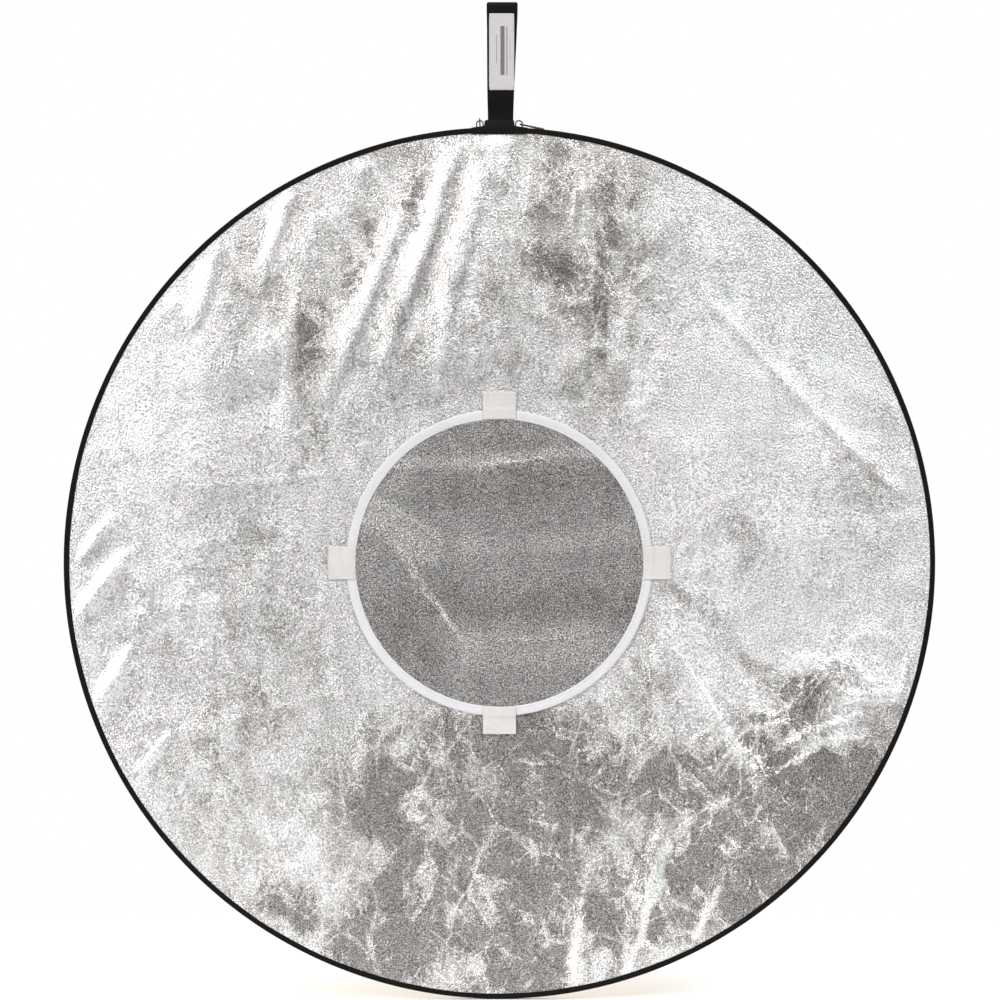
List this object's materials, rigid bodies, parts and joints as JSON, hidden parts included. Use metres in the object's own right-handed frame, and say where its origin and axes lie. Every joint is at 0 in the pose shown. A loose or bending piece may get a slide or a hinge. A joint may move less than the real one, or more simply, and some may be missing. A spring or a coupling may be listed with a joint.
{
  "type": "collapsible reflector disc",
  "caption": "Round collapsible light reflector with a silver front, a zipped two-sided cover, a carrying handle and a removable insert over its central port.",
  "frame": {"origin": "centre of the central port, midway through the disc's thickness", "axes": "+Z points to the carrying handle in the plane of the disc, +Y out of the back, +X to the right seen from the silver front"},
  "size_m": [1.0414, 0.0354, 1.1914],
  "materials": {
    "silver_cloth": "satin",
    "gold_cloth": "satin",
    "white_cloth": "matte",
    "black_cloth": "matte",
    "diffuser_cloth": "matte",
    "hem_tape": "matte",
    "port_tape": "matte",
    "rim_binding": "matte",
    "zip_tape": "matte",
    "zip_coil": "satin",
    "zip_enamel": "satin",
    "spring_steel": "satin",
    "insert_edge_tape": "matte",
    "insert_lining": "matte",
    "tab_webbing": "matte",
    "hook_tape": "matte",
    "loop_tape": "matte",
    "black_webbing": "matte",
    "label_cloth": "satin"
  },
  "bodies": {
    "reflector": {"spring_hoop": "spring_steel", "hoop_sleeve": "spring_steel", "diffuser_hem": "hem_tape", "diffuser_panel": "diffuser_cloth", "diffuser_port_tape": "hem_tape", "silver_panel": "silver_cloth", "white_lining": "white_cloth", "front_port_tape": "port_tape", "front_rim_binding": "rim_binding", "front_zip_tape": "zip_tape", "front_zip_coil": "zip_coil", "front_loop_patches": "loop_tape", "gold_panel": "gold_cloth", "black_lining": "black_cloth", "back_port_tape": "port_tape", "back_rim_binding": "rim_binding", "back_zip_tape": "zip_tape", "back_zip_coil": "zip_coil", "back_loop_patches": "loop_tape", "zip_end_stops": "zip_enamel", "handle_base": "black_webbing", "handle_strap_tail": "black_webbing"},
    "handle": {"handle_strap": "black_webbing", "handle_label": "label_cloth"},
    "left_slider": {"zip_slider_left": "zip_enamel", "zip_crown_left": "zip_enamel"},
    "right_slider": {"zip_slider_right": "zip_enamel", "zip_crown_right": "zip_enamel"},
    "left_pull": {"zip_pull_left": "zip_enamel"},
    "right_pull": {"zip_pull_right": "zip_enamel"},
    "insert": {"insert_silver": "silver_cloth", "insert_reverse": "insert_lining", "insert_ring": "insert_edge_tape", "insert_hoop": "spring_steel", "insert_hoop_sleeve": "spring_steel", "insert_tab_roots": "tab_webbing"},
    "tab_top": {"tab_top": "tab_webbing", "hook_patch_top": "hook_tape"},
    "tab_right": {"tab_right": "tab_webbing", "hook_patch_right": "hook_tape"},
    "tab_bottom": {"tab_bottom": "tab_webbing", "hook_patch_bottom": "hook_tape"},
    "tab_left": {"tab_left": "tab_webbing", "hook_patch_left": "hook_tape"}
  },
  "joints": [
    {"name": "handle_swing", "type": "hinge", "parent": "reflector", "child": "handle", "pos_m": [0, 0, 0.5325], "axis": [1, 0, 0], "range_deg": [-110, 110]},
    {"name": "left_slider_travel", "type": "hinge", "parent": "reflector", "child": "left_slider", "pos_m": [0, 0, 0], "axis": [0, -1, 0], "range_deg": [0, 170]},
    {"name": "right_slider_travel", "type": "hinge", "parent": "reflector", "child": "right_slider", "pos_m": [0, 0, 0], "axis": [0, 1, 0], "range_deg": [0, 170]},
    {"name": "left_pull_swing", "type": "hinge", "parent": "left_slider", "child": "left_pull", "pos_m": [-0.02355, 0, 0.52873], "axis": [0.999, 0, 0.0445], "range_deg": [0, 236]},
    {"name": "right_pull_lift", "type": "hinge", "parent": "right_slider", "child": "right_pull", "pos_m": [0.02337, 0, 0.52478], "axis": [0, -1, 0], "range_deg": [0, 100]},
    {"name": "insert_pull_off", "type": "slide", "parent": "reflector", "child": "insert", "axis": [0, -1, 0], "range_m": [0, 0.12]},
    {"name": "tab_top_peel", "type": "hinge", "parent": "insert", "child": "tab_top", "pos_m": [0, -0.0095, 0.184], "axis": [1, 0, 0], "range_deg": [0, 100]},
    {"name": "tab_right_peel", "type": "hinge", "parent": "insert", "child": "tab_right", "pos_m": [0.184, -0.0095, 0], "axis": [0, 0, -1], "range_deg": [0, 100]},
    {"name": "tab_bottom_peel", "type": "hinge", "parent": "insert", "child": "tab_bottom", "pos_m": [0, -0.0095, -0.184], "axis": [-1, 0, 0], "range_deg": [0, 100]},
    {"name": "tab_left_peel", "type": "hinge", "parent": "insert", "child": "tab_left", "pos_m": [-0.184, -0.0095, 0], "axis": [0, 0, 1], "range_deg": [0, 100]}
  ]
}
